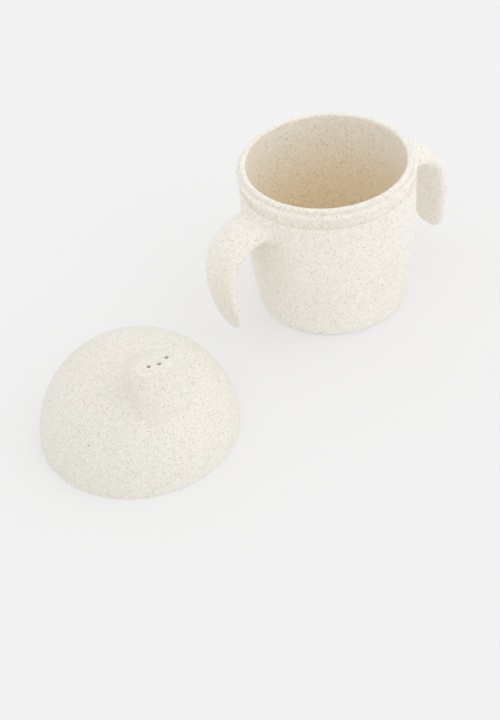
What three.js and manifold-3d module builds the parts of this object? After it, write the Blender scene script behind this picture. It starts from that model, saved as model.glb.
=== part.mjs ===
// Two-handled toddler drinking cup with a domed spout lid, in millimetres, +Z up.
// The origin is the centre of the cup's foot, the handles lie along X and the spout faces -Y.
// The cup stands open and the lid rests on its rim beside it.
import * as THREE from "three";
import { ParametricGeometry } from "three/addons/geometries/ParametricGeometry.js";
import { mergeVertices } from "three/addons/utils/BufferGeometryUtils.js";
import Module from "manifold-3d";

// Cup: the wall swells from the foot to the shoulder, and the lid's skirt sits round the neck above it.
const CUP_HEIGHT = 76.9;
const CUP_SEGMENTS = 48;
const FOOT_R = 36.0;
const FOOT_ROUND = 2.4;
const SHOULDER_R = 41.4;
const SHOULDER_Z = 67.0;
const SHOULDER_ROUND = 0.7;
const WALL_ROWS = 6;
const NECK_R = 39.6;
const LIP_OUTER_R = 40.0;
const BEAD_R = 42.0;
const BEAD_Z = 73.2;
const BEAD_HALF = 1.6;
const BEAD_CREST = 0.7;
const LIP_INNER_R = 37.4;
const LIP_ROUND = 1.2;
const FLOOR_THICK = 3.0;
const INNER_LOW_R = 34.6;
const INNER_CORNER = 9.0;

// Handle: a tongue swept along two cubic curves, given as [radius, height], from the wall to a free tip.
const HANDLE_OUTER = [[38.6, 66.1], [66.8, 61.5], [72.9, 44.5], [61.1, 9.7]];
const HANDLE_INNER = [[38.6, 52.5], [56.6, 57.7], [62.9, 48.1], [57.4, 13.1]];
const HANDLE_WIDTH = 21.2;
const HANDLE_POWER = 2.5;
const HANDLE_TIP_R = 9.4;
const HANDLE_SEGMENTS = 24;
const HANDLE_STEPS = 24;

// Lid, measured from its own rim plane. The snap groove holds the cup's bead.
const LID_POS = [-126.0, -21.1];
const LID_SEGMENTS = 48;
const LID_R = 45.5;
const LID_HEIGHT = 45.2;
const LID_WALL = 2.6;
const LID_EDGE_ROUND = 0.6;
const DOME_STEPS = 12;
const MOUTH_R = 42.6;
const MOUTH_Z = 1.0;
const CATCH_R = 41.7;
const CATCH_LOW_Z = 3.0;
const CATCH_HIGH_Z = 4.6;
const SNAP_GROOVE_R = 42.3;
const SNAP_LOW_Z = 5.4;
const SNAP_HIGH_Z = 7.2;
const SKIRT_R = 41.0;
const SKIRT_Z = 8.2;
const RING_GROOVE_R = 41.8;
const RING_GAP = 0.35;
const SHELF_R = 39.6;
const INNER_DOME_Z = 16.5;

// Spout: an oval tower with a steep front, a rounded top and a long ramp down to the dome's crown.
// Its depth in front of and behind its centre line is a share of its half width.
const SPOUT_Y = -25.0;
const SPOUT_BASE_Z = 24.0;
const SPOUT_TOP_Z = 57.8;
const SPOUT_BASE_HALF = 15.2;
const SPOUT_TOP_HALF = 12.8;
const SPOUT_TOP_ROUND = 3.5;
const SPOUT_FRONT_BASE = 0.77;
const SPOUT_FRONT_TOP = 0.56;
const SPOUT_BACK_BASE = 3.9;
const SPOUT_BACK_TOP = 0.4;
const SPOUT_WALL = 2.3;
const SPOUT_ROWS = 6;
const SPOUT_SEGMENTS = 32;
const HOLE_Y = -26.9;
const HOLE_BOW = 1.3;
const HOLE_R = 0.9;
const HOLE_SPACING = 4.45;
const HOLE_DEPTH = 6.0;
const HOLE_SEGMENTS = 12;

// Seal ring in the lid's upper groove.
const RING_OUTER_R = 41.4;
const RING_INNER_R = 38.2;
const RING_LOW_Z = 10.1;
const RING_HIGH_Z = 12.1;
const RING_EDGE = 0.5;

const QUARTER = Math.PI / 2;
const wasm = await Module();
wasm.setup();

/** Turns a closed geometry into a manifold solid. */
function solid(geometry) {
  let bare = geometry.index ? geometry.toNonIndexed() : geometry.clone();
  bare.deleteAttribute("normal");
  bare.deleteAttribute("uv");
  bare = mergeVertices(bare, 1e-4);
  const vertProperties = new Float32Array(bare.attributes.position.array);
  const triVerts = new Uint32Array(bare.index.array);
  return new wasm.Manifold(new wasm.Mesh({ numProp: 3, vertProperties, triVerts }));
}

/** Turns a manifold solid back into an indexed geometry. */
function geometryOf(body) {
  const mesh = body.getMesh();
  const geometry = new THREE.BufferGeometry();
  geometry.setAttribute("position", new THREE.BufferAttribute(new Float32Array(mesh.vertProperties), 3));
  geometry.setIndex(new THREE.BufferAttribute(new Uint32Array(mesh.triVerts), 1));
  geometry.computeVertexNormals();
  return geometry;
}

/** Points of an arc in a profile, from one angle to another, in radians. */
function arc(centreR, centreZ, radius, from, to, steps) {
  const points = [];
  for (let i = 0; i <= steps; i += 1) {
    const a = from + (to - from) * (i / steps);
    points.push([centreR + radius * Math.cos(a), centreZ + radius * Math.sin(a)]);
  }
  return points;
}

/** Spins a profile of [radius, height] pairs about +Z. */
function turned(profile, segments) {
  const points = profile.map(([r, z]) => new THREE.Vector2(r, z));
  const geometry = new THREE.LatheGeometry(points, segments);
  geometry.rotateX(QUARTER);
  return geometry;
}

/** Points of a wall that swells as a parabola from a low radius to a level top. */
function swell(lowR, lowZ, highR, highZ, steps) {
  const points = [];
  for (let i = 0; i <= steps; i += 1) {
    const s = i / steps;
    points.push([lowR + (highR - lowR) * (1 - (1 - s) ** 2), lowZ + (highZ - lowZ) * s]);
  }
  return points;
}

/** Profile of the cup's wall and floor, from the axis underneath to the axis inside. */
function cupProfile() {
  const lipZ = CUP_HEIGHT - LIP_ROUND;
  const shoulderZ = SHOULDER_Z - SHOULDER_ROUND;
  const innerLowZ = FLOOR_THICK + INNER_CORNER;
  return [
    [0, 0],
    ...arc(FOOT_R - FOOT_ROUND, FOOT_ROUND, FOOT_ROUND, -QUARTER, -0.3, 3),
    ...swell(FOOT_R + 0.15, FOOT_ROUND, SHOULDER_R, shoulderZ, WALL_ROWS),
    ...arc(SHOULDER_R - SHOULDER_ROUND, shoulderZ, SHOULDER_ROUND, 0.4, QUARTER, 2),
    [NECK_R, SHOULDER_Z],
    [NECK_R, BEAD_Z - BEAD_HALF],
    [BEAD_R, BEAD_Z - BEAD_CREST],
    [BEAD_R, BEAD_Z + BEAD_CREST],
    [NECK_R, BEAD_Z + BEAD_HALF],
    ...arc(LIP_OUTER_R - LIP_ROUND, lipZ, LIP_ROUND, 0, QUARTER, 4),
    ...arc(LIP_INNER_R + LIP_ROUND, lipZ, LIP_ROUND, QUARTER, 2 * QUARTER, 4),
    ...swell(INNER_LOW_R, innerLowZ, LIP_INNER_R, lipZ, WALL_ROWS).reverse().slice(1),
    ...arc(INNER_LOW_R - INNER_CORNER, innerLowZ, INNER_CORNER, -0.3, -QUARTER, 5),
    [0, FLOOR_THICK],
  ];
}

/** Point of a cubic curve given by four [radius, height] pairs. */
function cubic(points, t) {
  const s = 1 - t;
  const weights = [s * s * s, 3 * s * s * t, 3 * s * t * t, t * t * t];
  const r = weights.reduce((sum, w, i) => sum + w * points[i][0], 0);
  const z = weights.reduce((sum, w, i) => sum + w * points[i][1], 0);
  return [r, z];
}

/** A number raised to a power with its sign kept. */
function signedPower(value, power) {
  return Math.sign(value) * Math.abs(value) ** power;
}

/** One handle along +X: a superellipse section between the two curves, with a round tongue's end. */
function handleGeometry() {
  const dr = HANDLE_OUTER[3][0] - HANDLE_OUTER[2][0];
  const dz = HANDLE_OUTER[3][1] - HANDLE_OUTER[2][1];
  const speed = 3 * Math.hypot(dr, dz);
  const place = (u, v, target) => {
    // The first row is the centre of the root's face, and the last rows crowd towards the tip.
    const row = Math.round(v * HANDLE_STEPS);
    const t = Math.sin((QUARTER * Math.max(row - 1, 0)) / (HANDLE_STEPS - 1));
    const outer = cubic(HANDLE_OUTER, t);
    const inner = cubic(HANDLE_INNER, t);
    const left = (1 - t) * speed;
    const thick = Math.hypot(outer[0] - inner[0], outer[1] - inner[1]) / 2;
    const plan = Math.max(1 - left / HANDLE_TIP_R, 0);
    const side = Math.max(1 - left / thick, 0);
    const halfWidth = HANDLE_WIDTH / 2 - HANDLE_TIP_R * (1 - Math.sqrt(1 - plan * plan));
    const halfThick = Math.sqrt(1 - side * side) / 2;
    const open = Math.min(row, 1);
    const a = 2 * Math.PI * u;
    const across = open * halfWidth * signedPower(Math.cos(a), 2 / HANDLE_POWER);
    const through = open * halfThick * signedPower(Math.sin(a), 2 / HANDLE_POWER);
    const r = (outer[0] + inner[0]) / 2 + (outer[0] - inner[0]) * through;
    const z = (outer[1] + inner[1]) / 2 + (outer[1] - inner[1]) * through;
    target.set(r, across, z);
  };
  return new ParametricGeometry(place, HANDLE_SEGMENTS, HANDLE_STEPS);
}

/** The cup moulding: wall, floor, bead, shoulder and both handles in one solid. */
function cupGeometry() {
  const wall = turned(cupProfile(), CUP_SEGMENTS);
  wall.rotateZ(Math.PI / CUP_SEGMENTS);
  const right = solid(handleGeometry());
  const left = right.rotate([0, 0, 180]);
  return geometryOf(solid(wall).add(right).add(left));
}

/** Outline of a half-ellipse dome above a height, from its low edge up to the axis. */
function domeCurve(radius, height, fromZ) {
  const start = Math.asin(fromZ / height);
  const points = [];
  for (let i = 0; i <= DOME_STEPS; i += 1) {
    const a = start + (QUARTER - start) * (i / DOME_STEPS);
    points.push([i === DOME_STEPS ? 0 : radius * Math.cos(a), height * Math.sin(a)]);
  }
  return points;
}

/** Half width of the spout's outside at a share of its height. */
function spoutHalf(rise) {
  return SPOUT_BASE_HALF + (SPOUT_TOP_HALF - SPOUT_BASE_HALF) * rise;
}

/** The spout's outside or, inset by its wall, its channel: a lathe with its depth reshaped. */
function spoutBlock(inset) {
  const top = SPOUT_TOP_Z - inset;
  const round = SPOUT_TOP_ROUND;
  const topHalf = SPOUT_TOP_HALF - inset;
  const profile = [[0, SPOUT_BASE_Z]];
  for (let i = 0; i < SPOUT_ROWS; i += 1) {
    const s = i / SPOUT_ROWS;
    profile.push([spoutHalf(s) - inset, SPOUT_BASE_Z + (top - round - SPOUT_BASE_Z) * s]);
  }
  profile.push(...arc(topHalf - round, top - round, round, 0, QUARTER, 4));
  profile.push([0, top]);
  const geometry = turned(profile, SPOUT_SEGMENTS);
  const position = geometry.attributes.position;
  for (let i = 0; i < position.count; i += 1) {
    const rise = (position.getZ(i) - SPOUT_BASE_Z) / (top - SPOUT_BASE_Z);
    const y = position.getY(i);
    const half = spoutHalf(rise);
    const front = SPOUT_FRONT_BASE + (SPOUT_FRONT_TOP - SPOUT_FRONT_BASE) * rise;
    const back = SPOUT_BACK_BASE + (SPOUT_BACK_TOP - SPOUT_BACK_BASE) * rise;
    const depth = half * (y < 0 ? front : back) - inset;
    position.setY(i, SPOUT_Y + (y * depth) / (half - inset));
  }
  return solid(geometry);
}

/** The lid moulding: dome, skirt with its snap groove, spout and drinking holes. */
function lidGeometry() {
  const outside = [
    [0, 0],
    [LID_R - LID_EDGE_ROUND, 0],
    ...domeCurve(LID_R, LID_HEIGHT, LID_EDGE_ROUND),
  ];
  const inside = [
    [0, -MOUTH_Z],
    [MOUTH_R, -MOUTH_Z],
    [MOUTH_R, MOUTH_Z],
    [CATCH_R, CATCH_LOW_Z],
    [CATCH_R, CATCH_HIGH_Z],
    [SNAP_GROOVE_R, SNAP_LOW_Z],
    [SNAP_GROOVE_R, SNAP_HIGH_Z],
    [SKIRT_R, SKIRT_Z],
    [SKIRT_R, RING_LOW_Z - 2 * RING_GAP],
    [RING_GROOVE_R, RING_LOW_Z - RING_GAP],
    [RING_GROOVE_R, RING_HIGH_Z + RING_GAP],
    [SHELF_R, RING_HIGH_Z + RING_GAP],
    ...domeCurve(LID_R - LID_WALL, LID_HEIGHT - LID_WALL, INNER_DOME_Z),
  ];
  const hollow = solid(turned(inside, LID_SEGMENTS)).add(spoutBlock(SPOUT_WALL));
  let body = solid(turned(outside, LID_SEGMENTS)).add(spoutBlock(0)).subtract(hollow);
  for (const i of [-1, 0, 1]) {
    const drill = turned([[0, -HOLE_DEPTH], [HOLE_R, -HOLE_DEPTH], [HOLE_R, 1], [0, 1]], HOLE_SEGMENTS);
    const y = HOLE_Y - HOLE_BOW * (1 - Math.abs(i));
    drill.translate(HOLE_SPACING * i, y, SPOUT_TOP_Z);
    body = body.subtract(solid(drill));
  }
  return geometryOf(body);
}

/** The soft ring in the lid: a flat band with chamfered corners. */
function ringGeometry() {
  return turned([
    [RING_INNER_R + RING_EDGE, RING_LOW_Z],
    [RING_OUTER_R - RING_EDGE, RING_LOW_Z],
    [RING_OUTER_R, RING_LOW_Z + RING_EDGE],
    [RING_OUTER_R, RING_HIGH_Z - RING_EDGE],
    [RING_OUTER_R - RING_EDGE, RING_HIGH_Z],
    [RING_INNER_R + RING_EDGE, RING_HIGH_Z],
    [RING_INNER_R, RING_HIGH_Z - RING_EDGE],
    [RING_INNER_R, RING_LOW_Z + RING_EDGE],
    [RING_INNER_R + RING_EDGE, RING_LOW_Z],
  ], LID_SEGMENTS);
}

/** Names a mesh and gives it a matte material. */
function piece(name, geometry, color, roughness) {
  const material = new THREE.MeshStandardMaterial({ color, roughness, metalness: 0 });
  const mesh = new THREE.Mesh(geometry, material);
  mesh.name = name;
  return mesh;
}

const cup = new THREE.Group();
cup.add(piece("cup_body", cupGeometry(), 0xe7e3d9, 0.62));

const lid = new THREE.Group();
lid.position.set(LID_POS[0], LID_POS[1], 0);
lid.add(piece("lid_dome", lidGeometry(), 0xe8e4d8, 0.62));
lid.add(piece("seal_ring", ringGeometry(), 0xdcd8cc, 0.45));

const sippyCup = new THREE.Group();
sippyCup.add(cup);
sippyCup.add(lid);

export default sippyCup;
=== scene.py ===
"""Looks for a two-handled toddler cup and its domed spout lid.

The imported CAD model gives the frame: where the cup stands, where the lid rests and what moves.
Every surface here is worked out with numpy in millimetres and stored in metres, in the same frame.
"""

import logging
import math
from dataclasses import dataclass
from enum import Enum

import bmesh
import bpy
import numpy as np
from mathutils import Matrix, Vector

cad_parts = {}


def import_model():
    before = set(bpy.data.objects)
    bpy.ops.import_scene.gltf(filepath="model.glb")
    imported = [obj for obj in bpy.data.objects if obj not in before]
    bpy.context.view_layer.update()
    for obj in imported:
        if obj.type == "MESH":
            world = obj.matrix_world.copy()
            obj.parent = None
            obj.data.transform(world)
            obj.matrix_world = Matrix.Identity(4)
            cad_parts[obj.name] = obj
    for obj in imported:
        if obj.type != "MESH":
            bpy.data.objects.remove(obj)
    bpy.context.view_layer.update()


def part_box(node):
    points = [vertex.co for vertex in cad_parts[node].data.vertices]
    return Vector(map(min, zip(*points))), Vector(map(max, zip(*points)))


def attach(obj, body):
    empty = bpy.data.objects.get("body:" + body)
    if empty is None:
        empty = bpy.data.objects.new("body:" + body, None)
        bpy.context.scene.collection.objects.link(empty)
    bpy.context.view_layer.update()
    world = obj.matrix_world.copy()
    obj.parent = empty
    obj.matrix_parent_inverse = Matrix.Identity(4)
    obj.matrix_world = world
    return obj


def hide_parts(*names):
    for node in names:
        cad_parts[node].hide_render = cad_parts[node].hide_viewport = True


MM = 0.001
WELD = 2e-6
log = logging.getLogger("sippy_cup")


# --------------------------------------------------------------------------- surfaces


@dataclass(frozen=True)
class Corner:
    """One corner of a turned profile: radius from the axis, height and edge rounding, in mm."""

    r: float
    z: float
    round: float = 0.0


NEARLY_STRAIGHT = math.radians(89.7)
RUN_SHARE = 0.49


def rounded_profile(corners: list[Corner], steps: int = 8, longest: float = 2.0) -> np.ndarray:
    """Joins corners with straight runs and swaps each rounded corner for a tangent arc.

    The arc of radius q at a corner with half angle a touches both runs q / tan(a) from the corner.
    Straight runs are divided so that no step is longer than the given length.

    Args:
        corners: The corners in order, the first and last without rounding.
        steps: Steps in each arc.
        longest: Longest straight step in mm.

    Returns:
        An array of (radius, height) rows in mm.
    """
    points = np.array([(c.r, c.z) for c in corners], float)
    out = [points[0]]
    for i in range(1, len(corners) - 1):
        before = points[i - 1] - points[i]
        after = points[i + 1] - points[i]
        len_b, len_a = np.linalg.norm(before), np.linalg.norm(after)
        before, after = before / len_b, after / len_a
        half = math.acos(float(np.clip(before @ after, -1, 1))) / 2
        if corners[i].round <= 0 or half > NEARLY_STRAIGHT:
            out.append(points[i])
            continue
        reach = min(corners[i].round / math.tan(half), RUN_SHARE * len_b, RUN_SHARE * len_a)
        radius = reach * math.tan(half)
        middle = before + after
        centre = points[i] + middle / np.linalg.norm(middle) * radius / math.sin(half)
        start = points[i] + before * reach - centre
        end = points[i] + after * reach - centre
        a0, a1 = math.atan2(start[1], start[0]), math.atan2(end[1], end[0])
        a1 = a0 + (a1 - a0 + math.pi) % (2 * math.pi) - math.pi
        sweep = np.linspace(a0, a1, steps + 1)
        out.extend(centre + radius * np.column_stack([np.cos(sweep), np.sin(sweep)]))
    out.append(points[-1])
    dense = [out[0]]
    for a, b in zip(out[:-1], out[1:]):
        parts = max(1, math.ceil(float(np.linalg.norm(b - a)) / longest))
        dense.extend(a + (b - a) * k / parts for k in range(1, parts + 1))
    return np.array(dense)


def turned_grid(profile: np.ndarray, columns: int) -> np.ndarray:
    """Carries a profile round +Z: x = r cos(a), y = r sin(a), z = z.

    Args:
        profile: (radius, height) rows in mm.
        columns: Steps round the axis.

    Returns:
        A grid of points, rows by columns + 1 by 3, whose last column repeats the first.
    """
    a = np.linspace(0, 2 * np.pi, columns + 1)
    r, z = profile[:, :1], profile[:, 1:]
    return np.stack([r * np.cos(a), r * np.sin(a), z * np.ones_like(a)], axis=-1)


def smooth_min(a: np.ndarray, b: np.ndarray, blend: float) -> np.ndarray:
    """Least of two fields with a soft join: (1 - h) b + h a - k h (1 - h), h clipped to 0..1.

    Args:
        a: First field.
        b: Second field.
        blend: Width k of the join in mm.

    Returns:
        The joined field.
    """
    h = np.clip(0.5 + 0.5 * (b - a) / blend, 0.0, 1.0)
    return b * (1 - h) + a * h - blend * h * (1 - h)


def cubic_curve(points: tuple[tuple[float, float], ...], t: np.ndarray) -> np.ndarray:
    """Cubic Bezier curve: sum of the four points weighted by the Bernstein polynomials of t.

    Args:
        points: Four (radius, height) points.
        t: Places along the curve, 0 to 1.

    Returns:
        One (radius, height) row per place.
    """
    p = np.array(points, float)
    s = 1 - t
    weights = np.stack([s**3, 3 * s**2 * t, 3 * s * t**2, t**3], axis=-1)
    return weights @ p


def grid_faces(rows: int, columns: int, first: int = 0) -> np.ndarray:
    """Quads of a grid of points stored row by row.

    Args:
        rows: Number of rows of points.
        columns: Number of points in a row.
        first: Index of the grid's first point.

    Returns:
        An array of four indices per face.
    """
    r, c = np.meshgrid(np.arange(rows - 1), np.arange(columns - 1), indexing="ij")
    a = (r * columns + c).ravel() + first
    return np.stack([a, a + columns, a + columns + 1, a + 1], axis=-1)


def build_mesh(name: str, grids: list[np.ndarray], place: np.ndarray) -> bpy.types.Object:
    """Stores closed grids as one mesh, welds their seams and poles and points faces outwards.

    Args:
        name: Name of the object.
        grids: Grids of points in mm, each a closed surface.
        place: Offset added to every point, in mm.

    Returns:
        The new object, at the origin.
    """
    points, faces, first = [], [], 0
    for grid in grids:
        rows, columns = grid.shape[:2]
        points.append(grid.reshape(-1, 3))
        faces.append(grid_faces(rows, columns, first))
        first += rows * columns
    flat = (np.concatenate(points) + place) * MM
    mesh = bpy.data.meshes.new(name)
    mesh.from_pydata(flat.tolist(), [], np.concatenate(faces).tolist())
    work = bmesh.new()
    work.from_mesh(mesh)
    bmesh.ops.remove_doubles(work, verts=work.verts, dist=WELD)
    bmesh.ops.recalc_face_normals(work, faces=work.faces)
    work.to_mesh(mesh)
    work.free()
    mesh.polygons.foreach_set("use_smooth", np.ones(len(mesh.polygons), bool))
    piece = bpy.data.objects.new(name, mesh)
    bpy.context.scene.collection.objects.link(piece)
    return piece


# --------------------------------------------------------------------------- finishes


class Wiring:
    """Short hands for adding and joining nodes in one node tree."""

    def __init__(self, tree: bpy.types.NodeTree) -> None:
        """Keeps the tree that is being wired."""
        self.tree = tree

    def add(self, kind: str, **settings: object) -> bpy.types.Node:
        """Adds a node and sets its properties.

        Args:
            kind: Node type name.
            settings: Node properties by name.

        Returns:
            The new node.
        """
        node = self.tree.nodes.new(kind)
        for key, value in settings.items():
            setattr(node, key, value)
        return node

    def join(self, source: bpy.types.NodeSocket, target: bpy.types.NodeSocket) -> None:
        """Links an output to an input."""
        self.tree.links.new(source, target)

    def math(self, operation: str, a: object, b: object = None) -> bpy.types.NodeSocket:
        """Adds a Math node on sockets or numbers.

        Args:
            operation: Math operation.
            a: First value.
            b: Second value, if the operation takes one.

        Returns:
            The node's output.
        """
        node = self.add("ShaderNodeMath", operation=operation)
        for socket, value in zip(node.inputs, (a, b)):
            if isinstance(value, bpy.types.NodeSocket):
                self.join(value, socket)
            elif value is not None:
                socket.default_value = value
        return node.outputs[0]

    def span(
        self, value: bpy.types.NodeSocket, read: tuple[float, float], to: tuple[float, float]
    ) -> bpy.types.NodeSocket:
        """Maps a value from one range to another, clamped, with a smooth step.

        Args:
            value: The socket read.
            read: Start and end of the range read.
            to: Results at the start and the end.

        Returns:
            The mapped output.
        """
        node = self.add("ShaderNodeMapRange", interpolation_type="SMOOTHSTEP")
        self.join(value, node.inputs["Value"])
        names = ("From Min", "From Max", "To Min", "To Max")
        for name, number in zip(names, (*read, *to)):
            node.inputs[name].default_value = number
        return node.outputs["Result"]

    def mix(self, factor: object, a: object, b: object, blend: str = "MIX") -> bpy.types.NodeSocket:
        """Mixes two colours.

        Args:
            factor: Share of the second, a socket or number.
            a: First colour, a socket or RGBA.
            b: Second colour, a socket or RGBA.
            blend: Blend mode.

        Returns:
            The mixed colour.
        """
        node = self.add("ShaderNodeMix", data_type="RGBA", blend_type=blend)
        for socket, value in ((node.inputs[0], factor), (node.inputs[6], a), (node.inputs[7], b)):
            if isinstance(value, bpy.types.NodeSocket):
                self.join(value, socket)
            else:
                socket.default_value = value
        return node.outputs[2]


class Lay(Enum):
    """Direction in which one family of fibres lies: turns of its pattern about X, Y and Z, in radians."""

    ALONG = (0.0, 0.0, 0.35)
    ACROSS = (0.0, 1.45, 0.9)
    ASLANT = (0.85, 0.5, -0.6)
    STEEP = (-0.75, 1.1, 0.2)


FIBRE_STRETCH = 0.34
FAMILY_SHIFT = np.array([0.013, 0.007, 0.031])
WIDE_SCALE = 26.0
MIDDLE_SCALE = 420.0
FINE_SCALE = 1150.0
SPECK_SCALE = 230.0
SPECK_SHARE = 0.11
GROUP_INPUTS = (
    ("Vector", "NodeSocketVector", None),
    ("Base", "NodeSocketColor", (0.8, 0.8, 0.8, 1.0)),
    ("Cast", "NodeSocketColor", (0.8, 0.8, 0.8, 1.0)),
    ("Straw", "NodeSocketColor", (0.5, 0.4, 0.3, 1.0)),
    ("Bark", "NodeSocketColor", (0.2, 0.1, 0.1, 1.0)),
    ("Fibre Scale", "NodeSocketFloat", 600.0),
    ("Fibre Share", "NodeSocketFloat", 0.5),
    ("Strength", "NodeSocketFloat", 0.5),
)
GROUP_OUTPUTS = (
    ("Color", "NodeSocketColor"),
    ("Height", "NodeSocketFloat"),
    ("Rough", "NodeSocketFloat"),
)


def fibre_group() -> bpy.types.NodeTree:
    """Node group for moulded straw composite.

    Four families of stretched Voronoi cells give short fibres: a cell shows its core where the distance
    to its centre is small and its random number is under the share. A wide noise shifts the base colour,
    a fine noise mottles it, and sparse round cells give the few dark bark specks.

    Returns:
        The group, with outputs Color, Height and Rough.
    """
    tree = bpy.data.node_groups.new("straw_composite", "ShaderNodeTree")
    for name, kind, value in GROUP_INPUTS:
        socket = tree.interface.new_socket(name, in_out="INPUT", socket_type=kind)
        if value is not None:
            socket.default_value = value
    for name, kind in GROUP_OUTPUTS:
        tree.interface.new_socket(name, in_out="OUTPUT", socket_type=kind)
    w = Wiring(tree)
    given = w.add("NodeGroupInput")
    result = w.add("NodeGroupOutput")

    def noise(scale: float) -> bpy.types.NodeSocket:
        """Noise on the group's vector.

        Args:
            scale: Noise periods per metre.

        Returns:
            The noise, about 0.25 to 0.75.
        """
        node = w.add("ShaderNodeTexNoise")
        w.join(given.outputs["Vector"], node.inputs["Vector"])
        node.inputs["Scale"].default_value = scale
        return node.outputs["Fac"]

    wide = w.span(noise(WIDE_SCALE), (0.35, 0.65), (0.0, 1.0))
    fine = noise(FINE_SCALE)
    middle = noise(MIDDLE_SCALE)
    colour = w.mix(wide, given.outputs["Base"], given.outputs["Cast"])
    mottle = w.math(
        "ADD",
        w.span(fine, (0.28, 0.72), (0.925, 1.035)),
        w.span(middle, (0.3, 0.7), (-0.022, 0.022)),
    )
    grey = w.add("ShaderNodeCombineColor")
    for socket in grey.inputs:
        w.join(mottle, socket)
    colour = w.mix(1.0, colour, grey.outputs[0], "MULTIPLY")

    fibres = None
    for index, lay in enumerate(Lay):
        turn = w.add("ShaderNodeMapping", vector_type="POINT")
        w.join(given.outputs["Vector"], turn.inputs["Vector"])
        turn.inputs["Rotation"].default_value = lay.value
        turn.inputs["Location"].default_value = FAMILY_SHIFT * index
        stretch = w.add("ShaderNodeVectorMath", operation="MULTIPLY")
        w.join(turn.outputs[0], stretch.inputs[0])
        stretch.inputs[1].default_value = (1.0, 1.0, FIBRE_STRETCH)
        cells = w.add("ShaderNodeTexVoronoi", feature="F1")
        w.join(stretch.outputs[0], cells.inputs["Vector"])
        w.join(given.outputs["Fibre Scale"], cells.inputs["Scale"])
        split = w.add("ShaderNodeSeparateColor")
        w.join(cells.outputs["Color"], split.inputs[0])
        core = w.span(cells.outputs["Distance"], (0.12, 0.36), (1.0, 0.0))
        shown = w.math("LESS_THAN", split.outputs[0], given.outputs["Fibre Share"])
        depth = w.span(split.outputs[1], (0.0, 1.0), (0.2, 1.0))
        family = w.math("MULTIPLY", w.math("MULTIPLY", core, shown), depth)
        fibres = family if fibres is None else w.math("MAXIMUM", fibres, family)
    shade = w.math("MULTIPLY", fibres, given.outputs["Strength"])
    colour = w.mix(shade, colour, given.outputs["Straw"])

    specks = w.add("ShaderNodeTexVoronoi", feature="F1")
    w.join(given.outputs["Vector"], specks.inputs["Vector"])
    specks.inputs["Scale"].default_value = SPECK_SCALE
    speck = w.add("ShaderNodeSeparateColor")
    w.join(specks.outputs["Color"], speck.inputs[0])
    dot = w.span(specks.outputs["Distance"], (0.04, 0.11), (1.0, 0.0))
    rare = w.math("LESS_THAN", speck.outputs[0], SPECK_SHARE)
    depth = w.span(speck.outputs[1], (0.0, 1.0), (0.2, 0.85))
    bark = w.math("MULTIPLY", w.math("MULTIPLY", dot, rare), depth)
    colour = w.mix(bark, colour, given.outputs["Bark"])

    height = w.math("SUBTRACT", w.math("MULTIPLY", fine, 0.6), w.math("MULTIPLY", fibres, 0.35))
    w.join(colour, result.inputs["Color"])
    w.join(height, result.inputs["Height"])
    w.join(w.span(middle, (0.3, 0.7), (0.50, 0.62)), result.inputs["Rough"])
    return tree


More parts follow.
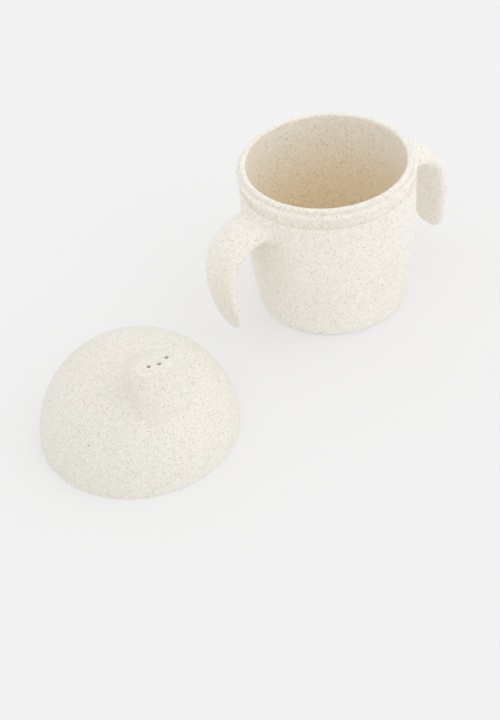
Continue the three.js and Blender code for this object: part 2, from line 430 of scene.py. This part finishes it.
@dataclass(frozen=True)
class StrawFinish:
    """Matte straw-fibre composite: base colours, fibre colours and how thick the fibres lie.

    A moulding with a hollow gets painted bounce light and shade deep inside: a warm, darker tint that
    stands in for the warm, shaded light down in the hollow. Its hollow sizes are in metres.
    """

    name: str
    base: tuple[float, float, float]
    cast: tuple[float, float, float]
    straw: tuple[float, float, float]
    bark: tuple[float, float, float]
    painted_bounce_tint: tuple[float, float, float] = (1.0, 1.0, 1.0)
    hollow_r: float = 0.0
    hollow_lean: float = 0.055
    hollow_floor: float = 0.0015
    hollow_deep: float = 0.030
    hollow_top: float = 0.078
    fibre_scale: float = 900.0
    fibre_share: float = 0.46
    strength: float = 0.52
    grain: float = 0.12
    bump_distance: float = 0.00025
    sheen_level: float = 0.35

    def material(self, group: bpy.types.NodeTree) -> bpy.types.Material:
        """Builds the material around the shared fibre group.

        Args:
            group: The straw composite group.

        Returns:
            The material.
        """
        material = bpy.data.materials.new(self.name)
        material.use_nodes = True
        w = Wiring(material.node_tree)
        shader = material.node_tree.nodes["Principled BSDF"]
        coords = w.add("ShaderNodeTexCoord")
        fibres = w.add("ShaderNodeGroup")
        fibres.node_tree = group
        w.join(coords.outputs["Object"], fibres.inputs["Vector"])
        colours = {"Base": self.base, "Cast": self.cast, "Straw": self.straw, "Bark": self.bark}
        for name, value in colours.items():
            fibres.inputs[name].default_value = (*value, 1.0)
        fibres.inputs["Fibre Scale"].default_value = self.fibre_scale
        fibres.inputs["Fibre Share"].default_value = self.fibre_share
        fibres.inputs["Strength"].default_value = self.strength
        bump = w.add("ShaderNodeBump")
        bump.inputs["Strength"].default_value = self.grain
        bump.inputs["Distance"].default_value = self.bump_distance
        w.join(fibres.outputs["Height"], bump.inputs["Height"])
        colour = fibres.outputs["Color"]
        # Painted bounce light and shade: deep in the hollow the colour is tinted warmer and darker.
        if self.hollow_r > 0:
            colour = w.mix(self.painted_bounce_mask(w, coords), colour, self.paint_bounce_tint(w, colour))
        w.join(colour, shader.inputs["Base Color"])
        w.join(fibres.outputs["Rough"], shader.inputs["Roughness"])
        w.join(bump.outputs["Normal"], shader.inputs["Normal"])
        shader.inputs["Specular IOR Level"].default_value = self.sheen_level
        return material

    def paint_bounce_tint(self, w: Wiring, colour: bpy.types.NodeSocket) -> bpy.types.NodeSocket:
        """Multiplies a colour by the warm tint of the painted bounce light and shade in the hollow."""
        return w.mix(1.0, colour, (*self.painted_bounce_tint, 1.0), "MULTIPLY")

    def painted_bounce_mask(self, w: Wiring, coords: bpy.types.Node) -> bpy.types.NodeSocket:
        """Mask of the painted bounce light and shade in the hollow, 0 at the lip and 1 deep down.

        A point is inside where its distance to the vertical axis, less a small share of its height, is
        under the radius halfway through the wall's foot.

        Args:
            w: The material's wiring.
            coords: Its texture coordinates.

        Returns:
            The mask.
        """
        split = w.add("ShaderNodeSeparateXYZ")
        w.join(coords.outputs["Object"], split.inputs[0])
        x, y, z = split.outputs
        squares = w.math("ADD", w.math("MULTIPLY", x, x), w.math("MULTIPLY", y, y))
        distance = w.math("SQRT", squares)
        lean = w.math("SUBTRACT", distance, w.math("MULTIPLY", z, self.hollow_lean))
        inside = w.span(lean, (self.hollow_r - 0.0002, self.hollow_r + 0.0002), (1.0, 0.0))
        above = w.math("GREATER_THAN", z, self.hollow_floor)
        depth = w.span(z, (self.hollow_deep, self.hollow_top), (1.0, 0.0))
        return w.math("MULTIPLY", w.math("MULTIPLY", inside, above), depth)


@dataclass(frozen=True)
class SiliconeFinish:
    """Milky silicone with a faint bloom and dust-fine grain. Scales are periods per metre."""

    name: str
    base: tuple[float, float, float]
    bloom: tuple[float, float, float]
    roughness: float = 0.42
    bloom_scale: float = 90.0
    grain_scale: float = 1400.0
    grain: float = 0.15
    bump_distance: float = 0.0001

    def material(self) -> bpy.types.Material:
        """Builds the material: a slow noise between the two colours and a fine noise as bump.

        Returns:
            The material.
        """
        material = bpy.data.materials.new(self.name)
        material.use_nodes = True
        w = Wiring(material.node_tree)
        shader = material.node_tree.nodes["Principled BSDF"]
        coords = w.add("ShaderNodeTexCoord")
        slow = w.add("ShaderNodeTexNoise")
        slow.inputs["Scale"].default_value = self.bloom_scale
        w.join(coords.outputs["Object"], slow.inputs["Vector"])
        fine = w.add("ShaderNodeTexNoise")
        fine.inputs["Scale"].default_value = self.grain_scale
        w.join(coords.outputs["Object"], fine.inputs["Vector"])
        colour = w.mix(slow.outputs["Fac"], (*self.base, 1.0), (*self.bloom, 1.0))
        w.join(colour, shader.inputs["Base Color"])
        bloom = w.span(slow.outputs["Fac"], (0.3, 0.7), (self.roughness - 0.06, self.roughness + 0.08))
        w.join(bloom, shader.inputs["Roughness"])
        bump = w.add("ShaderNodeBump")
        bump.inputs["Strength"].default_value = self.grain
        bump.inputs["Distance"].default_value = self.bump_distance
        w.join(fine.outputs["Fac"], bump.inputs["Height"])
        w.join(bump.outputs["Normal"], shader.inputs["Normal"])
        return material


class Finish(Enum):
    """The finishes of the cup's pieces."""

    CUP = StrawFinish(
        name="straw_composite_cup",
        base=(0.915, 0.882, 0.815),
        cast=(0.900, 0.860, 0.785),
        straw=(0.500, 0.380, 0.260),
        bark=(0.100, 0.065, 0.045),
        # Painted bounce light and shade: warm, darker tint deep in the hollow.
        painted_bounce_tint=(1.065, 0.985, 0.845),
        hollow_r=0.0353,
    )
    LID = StrawFinish(
        name="straw_composite_lid",
        base=(0.845, 0.815, 0.742),
        cast=(0.825, 0.800, 0.715),
        straw=(0.500, 0.415, 0.280),
        bark=(0.110, 0.080, 0.055),
    )
    SEAL = SiliconeFinish(name="milky_silicone", base=(0.76, 0.75, 0.71), bloom=(0.82, 0.81, 0.78))


# --------------------------------------------------------------------------- cup


class Side(Enum):
    """Side of the cup that a handle is on, as the sign of X."""

    RIGHT = 1.0
    LEFT = -1.0


def swelling(z: np.ndarray, low: Corner, high: Corner) -> np.ndarray:
    """Radius of a wall that swells to a level top: r0 + (r1 - r0) (1 - (1 - s)^2), s from 0 to 1.

    Args:
        z: Heights in mm.
        low: Foot of the wall.
        high: Top of the wall, where it stands upright.

    Returns:
        A radius for each height.
    """
    share = np.clip((z - low.z) / (high.z - low.z), 0.0, 1.0)
    return low.r + (high.r - low.r) * (1 - (1 - share) ** 2)


def superellipse(a: np.ndarray, power: float) -> tuple[np.ndarray, np.ndarray]:
    """Unit superellipse |x|^n + |y|^n = 1: x and y are cos and sin to the power 2 / n, signs kept.

    Args:
        a: Angles in radians.
        power: Exponent n, 2 for an ellipse.

    Returns:
        The two coordinates.
    """
    c, s = np.cos(a), np.sin(a)
    return np.sign(c) * np.abs(c) ** (2 / power), np.sign(s) * np.abs(s) ** (2 / power)


@dataclass
class Handle:
    """Open hook handle moulded to the wall: a tongue swept from the wall out and down to a free tip.

    Its outer and inner faces follow cubic curves in the plane of the cup's axis, in mm.
    """

    wall_low: Corner
    wall_high: Corner
    outer: tuple[tuple[float, float], ...] = ((38.6, 66.1), (66.8, 61.5), (72.9, 44.5), (61.1, 9.7))
    inner: tuple[tuple[float, float], ...] = ((38.6, 52.5), (56.6, 57.7), (62.9, 48.1), (57.4, 13.1))
    width: float = 21.2
    power: float = 2.5
    tip_r: float = 9.4
    fillet_side: float = 3.4
    fillet_top: float = 0.9
    fillet_under: float = 2.4
    highest: float = 66.7
    root_end: float = 0.14
    root_crowd: float = 1.6
    tip_start: float = 0.72
    root_rows: int = 46
    run_rows: int = 90
    tip_rows: int = 40
    columns: int = 96

    def stations(self) -> np.ndarray:
        """Places of the rows along the curves: close together at the root and at the tip.

        Returns:
            The places, 0 to 1.
        """
        root = self.root_end * np.linspace(0, 1, self.root_rows) ** self.root_crowd
        run = np.linspace(self.root_end, self.tip_start, self.run_rows)[1:]
        tip = 1 - (1 - self.tip_start) * (1 - np.linspace(0, 1, self.tip_rows)[1:]) ** 2
        return np.concatenate([root, run, tip])

    def grid(self, side: Side) -> np.ndarray:
        """Points of the handle on one side.

        Each row is a superellipse between the two curves. Over the last stretch, with s the length left
        to the tip and c the tip's corner radius, the half width h becomes h - c + sqrt(c^2 - (c - s)^2),
        and the half thickness t closes as sqrt(t^2 - (t - s)^2). Near the wall the section swells by
        q - sqrt(q^2 - (q - d)^2), where d is the distance to the wall and q the fillet radius, so that
        it meets the wall in a tangent.

        Args:
            side: Side of the cup.

        Returns:
            A grid of points in mm, closed at both ends.
        """
        t = self.stations()
        out, inn = cubic_curve(self.outer, t), cubic_curve(self.inner, t)
        middle = (out + inn) / 2
        normal = out - inn
        half_t = np.linalg.norm(normal, axis=1) / 2
        normal = normal / (2 * half_t[:, None])
        steps = np.linalg.norm(np.diff(middle, axis=0), axis=1)
        left = np.append(np.cumsum(steps[::-1])[::-1], 0.0)
        c = self.tip_r
        half_w = self.width / 2 - c + np.sqrt(c**2 - np.maximum(c - left, 0) ** 2)
        half_t = np.sqrt(half_t**2 - np.maximum(half_t - left, 0) ** 2)

        x, y = superellipse(np.linspace(0, 2 * np.pi, self.columns + 1), self.power)
        across, through = half_w[:, None] * x, half_t[:, None] * y
        r = middle[:, :1] + normal[:, :1] * through
        z = middle[:, 1:] + normal[:, 1:] * through
        gap = np.hypot(r, across) - swelling(z, self.wall_low, self.wall_high)
        length = np.hypot(across, through) + 1e-9
        across_n, through_n = across / length, through / length
        end = np.where(through_n > 0, self.fillet_top, self.fillet_under)
        fillet = self.fillet_side + (end - self.fillet_side) * through_n**2
        near = np.clip(fillet - gap, 0, fillet)
        swell = fillet - np.sqrt(fillet**2 - near**2)
        across = across + swell * across_n
        r = r + normal[:, :1] * swell * through_n
        z = np.minimum(z + normal[:, 1:] * swell * through_n, self.highest)
        grid = np.stack([r, across, z], axis=-1)
        cap = np.repeat(grid[:1].mean(axis=1, keepdims=True), grid.shape[1], axis=1)
        grid = np.concatenate([cap, grid])
        if side is Side.LEFT:
            grid = grid * np.array([-1.0, -1.0, 1.0])
        return grid


@dataclass
class CupMoulding:
    """The cup: foot, swelling wall, shoulder, bead, rounded lip and both handles."""

    columns: int = 288
    wall_steps: int = 30
    wall_start: float = 5.6
    wall_stop: float = 65.2
    inner_start: float = 23.0
    foot: Corner = Corner(36.0, 0.0, 2.6)
    shoulder: Corner = Corner(41.4, 67.0, 0.5)
    neck: tuple[Corner, ...] = (
        Corner(39.6, 67.0, 0.25),
        Corner(39.6, 71.5, 0.4),
        Corner(42.0, 72.3, 0.7),
        Corner(42.0, 74.0, 0.7),
        Corner(39.3, 74.6, 0.25),
        Corner(40.0, 75.2, 0.3),
        Corner(40.0, 76.9, 1.2),
        Corner(37.4, 76.9, 1.2),
    )
    inner_low: Corner = Corner(34.3, 3.0, 9.0)
    inner_high: Corner = Corner(37.4, 74.0)

    def wall(self, low: Corner, high: Corner, start: float, stop: float) -> list[Corner]:
        """Corners along a swelling wall, at even heights from start to stop."""
        z = np.linspace(start, stop, self.wall_steps)
        return [Corner(float(r), float(h)) for r, h in zip(swelling(z, low, high), z)]

    def profile(self) -> list[Corner]:
        """Corners of the whole section.

        Returns:
            The corners from the axis underneath, up the outside, over the lip and down inside.
        """
        inside = self.wall(self.inner_low, self.inner_high, self.inner_start, self.inner_high.z)
        return [
            Corner(0.0, 0.0),
            self.foot,
            *self.wall(self.foot, self.shoulder, self.wall_start, self.wall_stop),
            self.shoulder,
            *self.neck,
            *reversed(inside),
            self.inner_low,
            Corner(0.0, self.inner_low.z),
        ]

    def build(self) -> bpy.types.Object:
        """Turns the wall's profile and adds both handles, as one moulding.

        Returns:
            The moulding.
        """
        wall = turned_grid(rounded_profile(self.profile()), self.columns)
        handle = Handle(self.foot, self.shoulder)
        grids = [wall, handle.grid(Side.RIGHT), handle.grid(Side.LEFT)]
        return build_mesh("cup_moulding", grids, np.zeros(3))

    def dress(self, piece: bpy.types.Object, group: bpy.types.NodeTree) -> None:
        """Gives the moulding its finish, ties it to the cup's body and hides the CAD part it replaces.

        Args:
            piece: The moulding.
            group: The straw composite group.
        """
        piece.data.materials.append(Finish.CUP.value.material(group))
        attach(piece, "cup")
        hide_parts("cup_body")


# --------------------------------------------------------------------------- lid


@dataclass
class LidMoulding:
    """The lid: a domed shell with an oval spout, three drinking holes and a grooved skirt.

    Its own origin is the centre of its rim plane, and the spout faces -Y. Sizes are in mm.
    """

    centre: np.ndarray
    rim_r: float = 45.5
    height: float = 45.2
    wall: float = 2.6
    spout_wall: float = 2.3
    spout_y: float = -25.0
    spout_top: float = 57.8
    spout_base: float = 24.0
    spout_low: float = 13.8
    spout_high: float = 12.8
    spout_round: float = 3.5
    front_low: float = 0.77
    front_high: float = 0.56
    back_low: float = 3.6
    back_high: float = 0.4
    blend: float = 2.4
    columns: int = 320
    dome_rows: int = 170
    inner_rows: int = 60
    rim_row: float = 0.9
    shelf_row: float = 16.5
    hole_y: float = -26.9
    hole_r: float = 0.9
    hole_spacing: float = 4.45
    hole_bow: float = 1.4
    hole_depth: float = 8.0
    hole_flare: float = 0.6
    drill_rise: float = 0.4
    drill_columns: int = 28
    nearest: float = 15.0
    farthest: float = 95.0
    halvings: int = 40
    sharp: float = math.radians(40)
    skirt: tuple[Corner, ...] = (
        Corner(45.5, 0.9),
        Corner(45.5, 0.0, 0.6),
        Corner(43.0, 0.0, 0.4),
        Corner(42.6, 1.0, 0.6),
        Corner(41.7, 3.0, 0.8),
        Corner(41.7, 4.6, 0.5),
        Corner(42.3, 5.4, 0.5),
        Corner(42.3, 7.2, 0.5),
        Corner(41.0, 8.2, 0.4),
        Corner(41.0, 9.4, 0.2),
        Corner(41.8, 9.75, 0.1),
        Corner(41.8, 12.45, 0.2),
        Corner(39.6, 12.45, 0.4),
    )

    def dome_field(self, p: np.ndarray, inset: float) -> np.ndarray:
        """Half ellipsoid of turn: sqrt((r / R)^2 + (z / H)^2) - 1, times R.

        Args:
            p: Points in mm.
            inset: Distance by which the dome shrinks, for its inner face.

        Returns:
            A field that is negative inside the dome.
        """
        radius, height = self.rim_r - inset, self.height - inset
        r = np.hypot(p[..., 0], p[..., 1])
        return (np.hypot(r / radius, np.maximum(p[..., 2], 0) / height) - 1) * radius

    def spout_field(self, p: np.ndarray, inset: float) -> np.ndarray:
        """Tapering oval tower, with a steep front, a long back ramp and a rounded top edge.

        Args:
            p: Points in mm.
            inset: Distance by which the tower shrinks, for the channel inside it.

        Returns:
            A field that is negative inside the tower.
        """
        x, y, z = p[..., 0], p[..., 1] - self.spout_y, p[..., 2]
        top = self.spout_top - inset
        rise = np.clip((z - self.spout_base) / (top - self.spout_base), 0, 1)
        half = self.spout_low + (self.spout_high - self.spout_low) * rise - inset
        front = self.front_low + (self.front_high - self.front_low) * rise
        back = self.back_low + (self.back_high - self.back_low) * rise
        u = np.hypot(x, y / np.where(y < 0, front, back))
        q = self.spout_round
        a = (u - half) + q
        b = (z - top) + q
        return np.minimum(np.maximum(a, b), 0) + np.hypot(np.maximum(a, 0), np.maximum(b, 0)) - q

    def shell(self, elevation: np.ndarray, inset: float) -> np.ndarray:
        """Finds the shell along rays from the rim's centre by halving the interval again and again.

        A ray at elevation e and azimuth a runs along (cos e cos a, cos e sin a, sin e). The surface is
        where the soft least of the dome's and the spout's fields is zero.

        Args:
            elevation: Elevation of each row, in radians.
            inset: Wall thickness of the dome for the inner face, or 0.

        Returns:
            A grid of points in mm.
        """
        spout_inset = min(inset, self.spout_wall)
        azimuth = np.linspace(0, 2 * np.pi, self.columns + 1)
        e, a = elevation[:, None], azimuth[None, :]
        flat = np.cos(e)
        ray = np.stack([flat * np.cos(a), flat * np.sin(a), np.sin(e) * np.ones_like(a)], axis=-1)
        low, high = np.full(ray.shape[:2], self.nearest), np.full(ray.shape[:2], self.farthest)
        for _ in range(self.halvings):
            mid = (low + high) / 2
            p = ray * mid[..., None]
            dome, spout = self.dome_field(p, inset), self.spout_field(p, spout_inset)
            inside = smooth_min(dome, spout, self.blend) < 0
            low, high = np.where(inside, mid, low), np.where(inside, high, mid)
        return ray * low[..., None]

    def build(self) -> bpy.types.Object:
        """Builds the shell from its crown over the rim to the crown inside, and drills the holes.

        Returns:
            The lid.
        """
        shelf_share = self.shelf_row / (self.height - self.wall)
        shelf_r = (self.rim_r - self.wall) * math.sqrt(1 - shelf_share**2)
        start, stop = math.atan2(self.rim_row, self.rim_r), math.atan2(self.shelf_row, shelf_r)
        outer = self.shell(np.linspace(math.pi / 2, start, self.dome_rows), 0.0)
        skirt = turned_grid(rounded_profile(list(self.skirt), steps=5), self.columns)[1:]
        inner = self.shell(np.linspace(stop, math.pi / 2, self.inner_rows), self.wall)
        piece = build_mesh("lid_moulding", [np.concatenate([outer, skirt, inner])], self.centre)
        drill = build_mesh("drill", [self.drill(i) for i in (-1, 0, 1)], self.centre)
        cut = piece.modifiers.new("holes", "BOOLEAN")
        cut.operation, cut.solver, cut.object = "DIFFERENCE", "EXACT", drill
        depsgraph = bpy.context.evaluated_depsgraph_get()
        shaped = bpy.data.meshes.new_from_object(piece.evaluated_get(depsgraph))
        piece.modifiers.clear()
        piece.data = shaped
        shaped.name = piece.name
        bpy.data.objects.remove(drill)
        shaped.set_sharp_from_angle(angle=self.sharp)
        return piece

    def drill(self, index: int) -> np.ndarray:
        """Turned cutter of one drinking hole, flared at the top for its softened edge.

        Args:
            index: Place of the hole in the row: -1, 0 or 1.

        Returns:
            A closed grid of points in mm.
        """
        r, top, rise = self.hole_r, self.spout_top, self.drill_rise
        profile = [
            Corner(0.0, top - self.hole_depth),
            Corner(r, top - self.hole_depth),
            Corner(r, top - rise, 0.5),
            Corner(r + self.hole_flare, top + rise),
            Corner(0.0, top + rise),
        ]
        grid = turned_grid(rounded_profile(profile, steps=4, longest=3.0), self.drill_columns)
        y = self.hole_y - self.hole_bow * (1 - abs(index))
        return grid + np.array([self.hole_spacing * index, y, 0.0])

    def dress(self, piece: bpy.types.Object, group: bpy.types.NodeTree) -> None:
        """Gives the lid its finish, ties it to the lid's body and hides the CAD part it replaces.

        Args:
            piece: The lid.
            group: The straw composite group.
        """
        piece.data.materials.clear()
        piece.data.materials.append(Finish.LID.value.material(group))
        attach(piece, "lid")
        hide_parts("lid_dome")


@dataclass
class SealRing:
    """Silicone ring in the lid: a flat band with two low ribs on the face that meets the lip."""

    centre: np.ndarray
    outer_r: float = 41.4
    inner_r: float = 38.2
    low: float = 10.1
    high: float = 12.1
    rib: float = 0.3
    columns: int = 240

    def build(self) -> bpy.types.Object:
        """Turns the ring's section, which closes on itself.

        Returns:
            The ring.
        """
        o, i, lo, hi, rib = self.outer_r, self.inner_r, self.low, self.high, self.rib
        unit = (o - i) / 6
        corners = [
            Corner(i + unit, lo + rib),
            Corner(i + 1.6 * unit, lo, 0.25),
            Corner(i + 2.3 * unit, lo + rib, 0.2),
            Corner(o - 2.3 * unit, lo + rib, 0.2),
            Corner(o - 1.6 * unit, lo, 0.25),
            Corner(o - unit, lo + rib, 0.2),
            Corner(o, lo + rib, 0.35),
            Corner(o, hi, 0.4),
            Corner(i, hi, 0.4),
            Corner(i, lo + rib, 0.35),
            Corner(i + unit, lo + rib),
        ]
        grid = turned_grid(rounded_profile(corners, steps=4), self.columns)
        return build_mesh("seal_band", [grid], self.centre)

    def dress(self, piece: bpy.types.Object) -> None:
        """Gives the ring its finish, ties it to its body and hides the CAD part it replaces.

        Args:
            piece: The ring.
        """
        piece.data.materials.append(Finish.SEAL.value.material())
        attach(piece, "ring")
        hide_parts("seal_ring")


# --------------------------------------------------------------------------- studio


@dataclass
class Studio:
    """Pale floor, even sky, one broad soft light and the camera."""

    half_floor: float = 3.0
    floor_gap: float = 0.0001
    turn: float = math.radians(-31.0)
    eye: tuple[float, float, float] = (-0.34490, -0.48720, 0.48867)
    pitch: float = 0.72749
    roll: float = 0.10746
    lens: float = 77.95
    floor_colour: tuple[float, float, float] = (0.53, 0.53, 0.53)
    floor_glow: float = 0.345
    sky: float = 0.97
    sun: float = 0.50
    sun_spread: float = math.radians(90)
    sun_from: tuple[float, float, float] = (0.92, -0.25, 0.34)

    def floor(self) -> None:
        """Lays the plain pale floor just under the foot, lit a little from within to soften shadows."""
        s = self.half_floor
        mesh = bpy.data.meshes.new("floor")
        mesh.from_pydata([(-s, -s, 0), (s, -s, 0), (s, s, 0), (-s, s, 0)], [], [(0, 1, 2, 3)])
        plane = bpy.data.objects.new("floor", mesh)
        plane.location.z = -self.floor_gap
        bpy.context.scene.collection.objects.link(plane)
        material = bpy.data.materials.new("floor_white")
        material.use_nodes = True
        shader = material.node_tree.nodes["Principled BSDF"]
        shader.inputs["Base Color"].default_value = (*self.floor_colour, 1.0)
        shader.inputs["Roughness"].default_value = 0.9
        shader.inputs["Specular IOR Level"].default_value = 0.1
        shader.inputs["Emission Color"].default_value = (1.0, 1.0, 1.0, 1.0)
        shader.inputs["Emission Strength"].default_value = self.floor_glow
        mesh.materials.append(material)

    def lights(self) -> None:
        """Sets an even white sky and a broad sun from the right."""
        scene = bpy.context.scene
        world = bpy.data.worlds.new("sky")
        world.use_nodes = True
        back = world.node_tree.nodes["Background"]
        back.inputs["Color"].default_value = (1.0, 1.0, 1.0, 1.0)
        back.inputs["Strength"].default_value = self.sky
        scene.world = world
        light = bpy.data.lights.new("soft_sun", "SUN")
        light.energy, light.angle = self.sun, self.sun_spread
        lamp = bpy.data.objects.new("soft_sun", light)
        aim = Matrix.Rotation(self.turn, 3, "Z") @ Vector(self.sun_from)
        lamp.rotation_mode = "QUATERNION"
        lamp.rotation_quaternion = aim.to_track_quat("Z", "Y")
        scene.collection.objects.link(lamp)
        scene.view_settings.view_transform = "Standard"

    def camera(self) -> None:
        """Places the camera, which looks down along its pitch and is rolled a little."""
        c, s = math.cos(self.pitch), math.sin(self.pitch)
        cr, sr = math.cos(self.roll), math.sin(self.roll)
        right, down, ahead = Vector((1, 0, 0)), Vector((0, -s, -c)), Vector((0, c, -s))
        image_x = cr * right + sr * down
        image_y = -sr * right + cr * down
        axes = Matrix.Rotation(self.turn, 3, "Z") @ Matrix((image_x, -image_y, -ahead)).transposed()
        data = bpy.data.cameras.new("camera")
        data.lens = self.lens
        data.sensor_width = 36.0
        camera = bpy.data.objects.new("camera", data)
        camera.matrix_world = Matrix.Translation(self.eye) @ axes.to_4x4()
        bpy.context.scene.collection.objects.link(camera)
        bpy.context.scene.camera = camera

    def build(self) -> None:
        """Builds the whole studio."""
        self.floor()
        self.lights()
        self.camera()


# --------------------------------------------------------------------------- assembly


def report(piece: bpy.types.Object) -> None:
    """Logs a piece's name and how many faces it has."""
    log.info("%s: %d faces", piece.name, len(piece.data.polygons))


def main() -> None:
    """Loads the frame, builds the cup, the lid, the ring and the studio."""
    logging.basicConfig(level=logging.INFO)
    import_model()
    group = fibre_group()
    low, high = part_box("seal_ring")
    centre = np.array([(low[0] + high[0]) / 2 / MM, (low[1] + high[1]) / 2 / MM, 0.0])

    cup = CupMoulding()
    cup_piece = cup.build()
    cup.dress(cup_piece, group)
    report(cup_piece)

    lid = LidMoulding(centre=centre)
    lid_piece = lid.build()
    lid.dress(lid_piece, group)
    report(lid_piece)

    ring = SealRing(centre=centre)
    ring_piece = ring.build()
    ring.dress(ring_piece)
    report(ring_piece)

    Studio().build()


if __name__ == "__main__":
    main()
